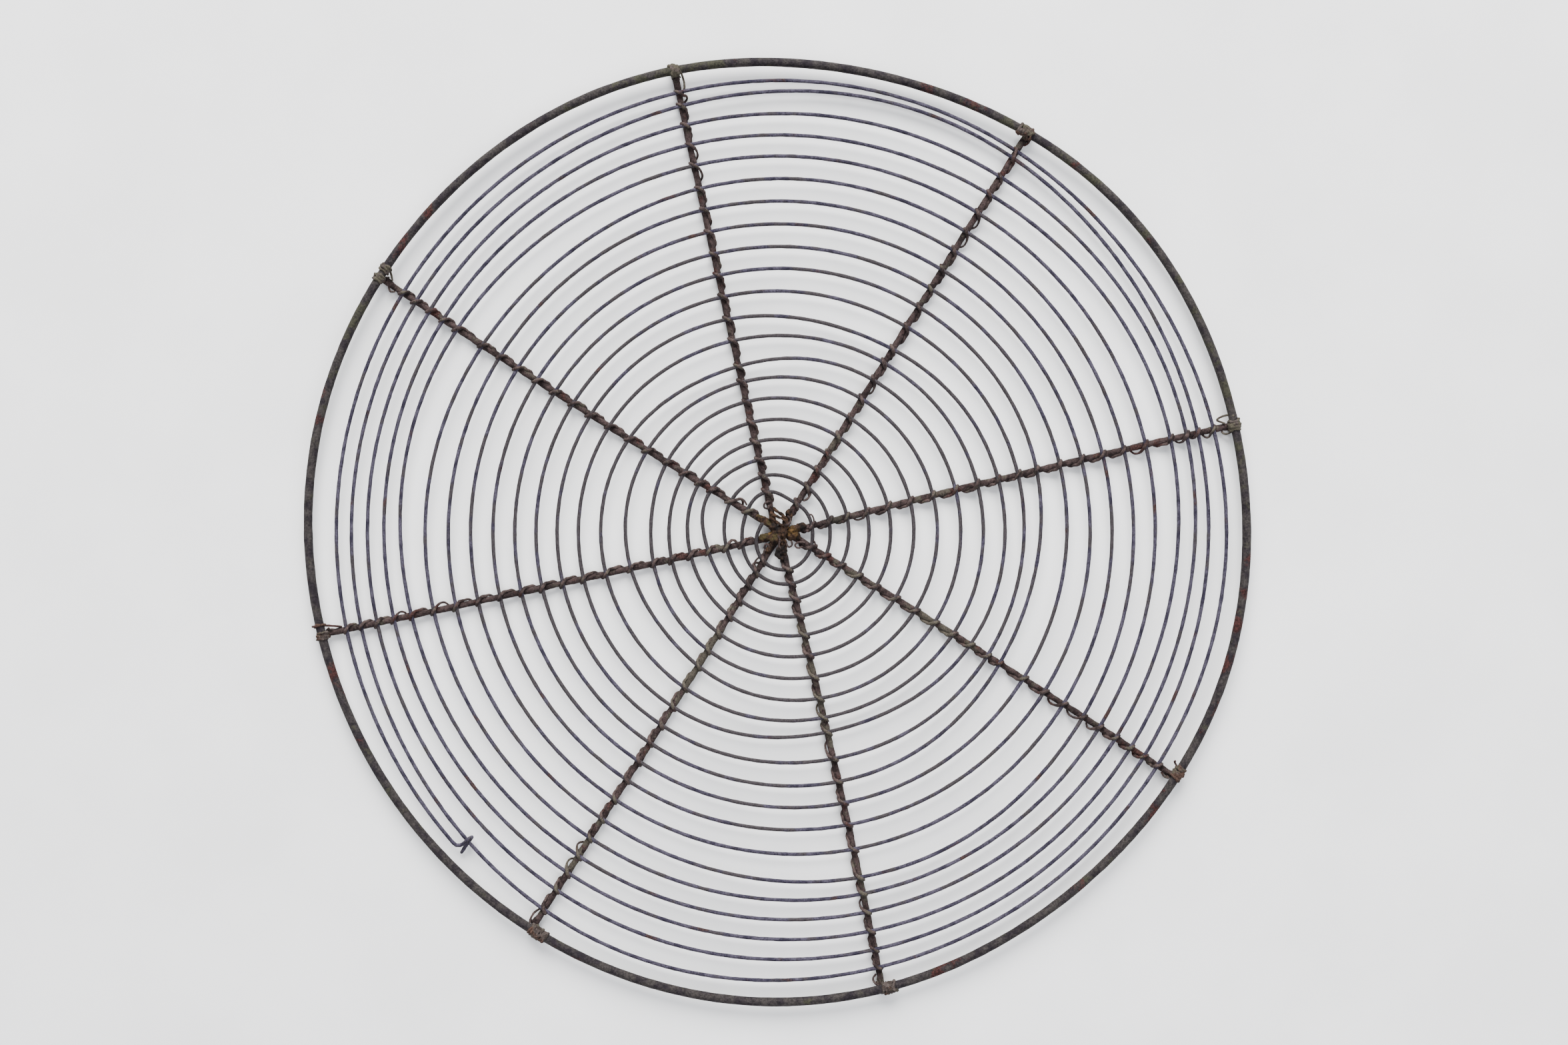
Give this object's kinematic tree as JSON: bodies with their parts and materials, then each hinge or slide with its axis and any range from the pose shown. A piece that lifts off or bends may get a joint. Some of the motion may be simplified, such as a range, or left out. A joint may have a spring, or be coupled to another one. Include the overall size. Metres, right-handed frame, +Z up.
{
  "type": "round wire cooling rack",
  "caption": "Flat round rack of old steel wire: a thick rim, straight spokes tied together at the hub, and a close spiral of thin wire laced to the spokes.",
  "frame": {"origin": "centre of the footprint, on the surface the rack lies on", "axes": "+Z is up through the rack towards the side that carries the spiral; +X and +Y lie in the rack's plane, and the hooked outer end of the spiral is towards -X and -Y"},
  "size_m": [0.3197, 0.3202, 0.0071],
  "materials": {
    "rim": "dark brown-grey old wire with rust and olive patches, dull",
    "spoke": "rust-brown, pitted, matte",
    "spiral": "dark slate-grey wire with short rusty stretches, dull satin",
    "lacing": "rust-brown fine binding wire, matte",
    "tie": "amber-brown crusty rust, matte"
  },
  "bodies": {
    "root": {"rim": "rim", "spiral_wire": "spiral", "spoke_1": "spoke", "spoke_2": "spoke", "spoke_3": "spoke", "spoke_4": "spoke", "spoke_5": "spoke", "spoke_6": "spoke", "spoke_7": "spoke", "spoke_8": "spoke", "lacing_1": "lacing", "lacing_2": "lacing", "lacing_3": "lacing", "lacing_4": "lacing", "lacing_5": "lacing", "lacing_6": "lacing", "lacing_7": "lacing", "lacing_8": "lacing", "lashing_1": "lacing", "lashing_2": "lacing", "lashing_3": "lacing", "lashing_4": "lacing", "lashing_5": "lacing", "lashing_6": "lacing", "lashing_7": "lacing", "lashing_8": "lacing", "hub_tie": "tie"}
  },
  "joints": []
}
